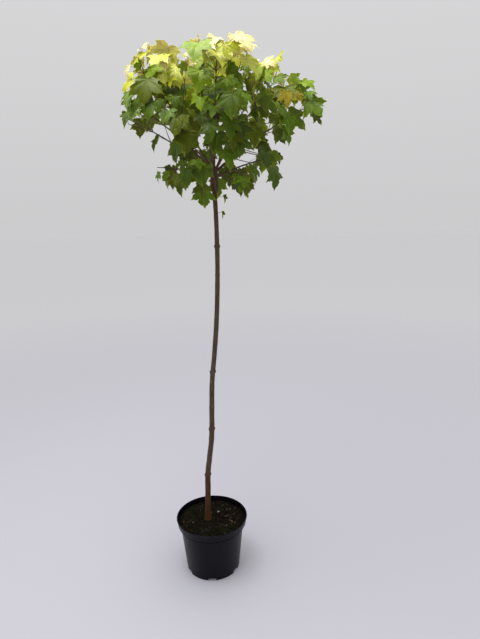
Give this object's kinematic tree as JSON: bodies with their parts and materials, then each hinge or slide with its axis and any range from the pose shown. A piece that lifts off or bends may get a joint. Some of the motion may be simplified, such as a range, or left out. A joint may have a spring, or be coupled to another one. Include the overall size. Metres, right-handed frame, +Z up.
{
  "type": "potted standard maple tree",
  "caption": "Young standard maple with a bare slender trunk and a small round leafy crown, in a black nursery pot.",
  "frame": {"origin": "middle of the pot's flat underside", "axes": "+Z up along the pot's axis, -Y towards the viewer of the picture, +X to the right, the way the trunk leans"},
  "size_m": [0.5937, 0.5296, 1.691],
  "materials": {
    "pot": "satin",
    "compost": "rough",
    "bark": "rough",
    "foliage": "satin"
  },
  "bodies": {
    "root": {"pot": "pot", "compost": "compost", "trunk": "bark", "bough_leader": "bark", "bough_top_front": "bark", "bough_top_left": "bark", "bough_top_back": "bark", "bough_top_right": "bark", "bough_right": "bark", "bough_right_front": "bark", "bough_left_front": "bark", "bough_left": "bark", "bough_left_back": "bark", "bough_right_back": "bark", "bough_low_right": "bark", "bough_low_front": "bark", "bough_low_left": "bark", "bough_low_back": "bark", "leaves_leader": "foliage", "leaves_top_front": "foliage", "leaves_top_left": "foliage", "leaves_top_back": "foliage", "leaves_top_right": "foliage", "leaves_right": "foliage", "leaves_right_front": "foliage", "leaves_left_front": "foliage", "leaves_left": "foliage", "leaves_left_back": "foliage", "leaves_right_back": "foliage", "leaves_low_right": "foliage", "leaves_low_front": "foliage", "leaves_low_left": "foliage", "leaves_low_back": "foliage", "lone_leaf_left": "foliage", "lone_leaf_right": "foliage", "lone_leaf_low": "foliage"}
  },
  "joints": []
}
